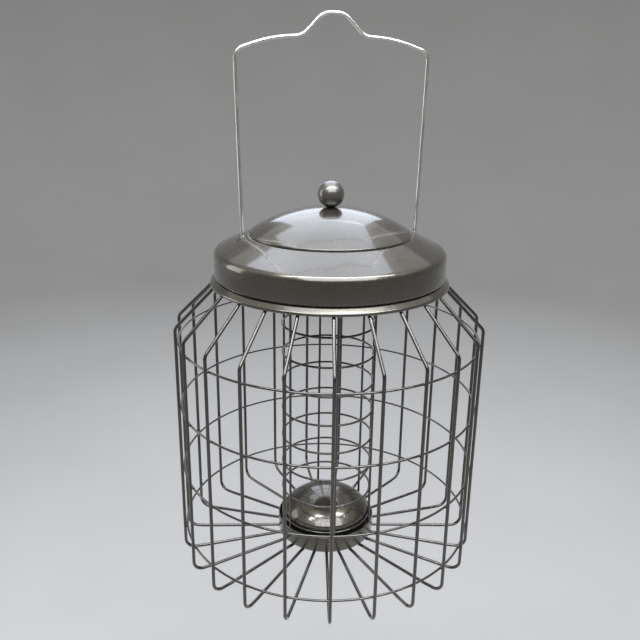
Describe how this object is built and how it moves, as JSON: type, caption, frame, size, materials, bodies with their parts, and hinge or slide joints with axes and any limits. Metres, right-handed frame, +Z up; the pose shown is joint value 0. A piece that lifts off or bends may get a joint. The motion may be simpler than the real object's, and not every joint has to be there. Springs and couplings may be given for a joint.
{
  "type": "caged hanging bird feeder",
  "caption": "Hanging fat-ball bird feeder: narrow wire basket inside a round wire cage, domed lid with a ball knob that slides up a bent wire handle.",
  "frame": {"origin": "on the feeder's axis, level with the lowest point of the cage wires", "axes": "+Z up along the axis of the cage and the basket, the handle lies in the XZ plane, the front faces -Y"},
  "size_m": [0.2421, 0.2418, 0.4223],
  "materials": {
    "gunmetal_wire": "gloss powder coat on steel wire",
    "gunmetal_sheet": "high gloss coat on steel sheet",
    "gunmetal_knob": "soft gloss coat",
    "bright_wire": "bright drawn wire",
    "zinc_steel": "bright zinc plate"
  },
  "bodies": {
    "feeder": {"handle_wire": "bright_wire", "top_plate": "gunmetal_sheet", "cage_wire_01": "gunmetal_wire", "cage_wire_02": "gunmetal_wire", "cage_wire_03": "gunmetal_wire", "cage_wire_04": "gunmetal_wire", "cage_wire_05": "gunmetal_wire", "cage_wire_06": "gunmetal_wire", "cage_wire_07": "gunmetal_wire", "cage_wire_08": "gunmetal_wire", "cage_wire_09": "gunmetal_wire", "cage_wire_10": "gunmetal_wire", "cage_wire_11": "gunmetal_wire", "cage_wire_12": "gunmetal_wire", "cage_wire_13": "gunmetal_wire", "cage_wire_14": "gunmetal_wire", "cage_wire_15": "gunmetal_wire", "cage_wire_16": "gunmetal_wire", "cage_wire_17": "gunmetal_wire", "cage_wire_18": "gunmetal_wire", "cage_wire_19": "gunmetal_wire", "cage_wire_20": "gunmetal_wire", "cage_wire_21": "gunmetal_wire", "cage_wire_22": "gunmetal_wire", "cage_wire_23": "gunmetal_wire", "cage_ring_1": "gunmetal_wire", "cage_ring_2": "gunmetal_wire", "cage_ring_3": "gunmetal_wire", "cage_ring_4": "gunmetal_wire", "basket_wire_1": "gunmetal_wire", "basket_wire_2": "gunmetal_wire", "basket_wire_3": "gunmetal_wire", "basket_wire_4": "gunmetal_wire", "basket_wire_5": "gunmetal_wire", "basket_wire_6": "gunmetal_wire", "basket_ring_1": "gunmetal_wire", "basket_ring_2": "gunmetal_wire", "basket_ring_3": "gunmetal_wire", "basket_ring_4": "gunmetal_wire", "basket_ring_5": "gunmetal_wire", "basket_ring_6": "gunmetal_wire", "basket_ring_7": "gunmetal_wire", "basket_ring_8": "gunmetal_wire", "basket_ring_9": "gunmetal_wire", "base_cup": "gunmetal_sheet", "base_insert": "gunmetal_sheet", "base_bolt": "gunmetal_sheet", "hub_disc": "gunmetal_sheet", "base_washer": "zinc_steel", "base_nut": "zinc_steel"},
    "lid": {"lid_shell": "gunmetal_sheet", "lid_dome": "gunmetal_sheet", "knob_ball": "gunmetal_knob", "knob_stud": "zinc_steel", "knob_washer": "zinc_steel", "knob_nut": "zinc_steel"}
  },
  "joints": [
    {"name": "lid_slide", "type": "slide", "parent": "feeder", "child": "lid", "axis": [0, 0, 1], "range_m": [0, 0.114]}
  ]
}
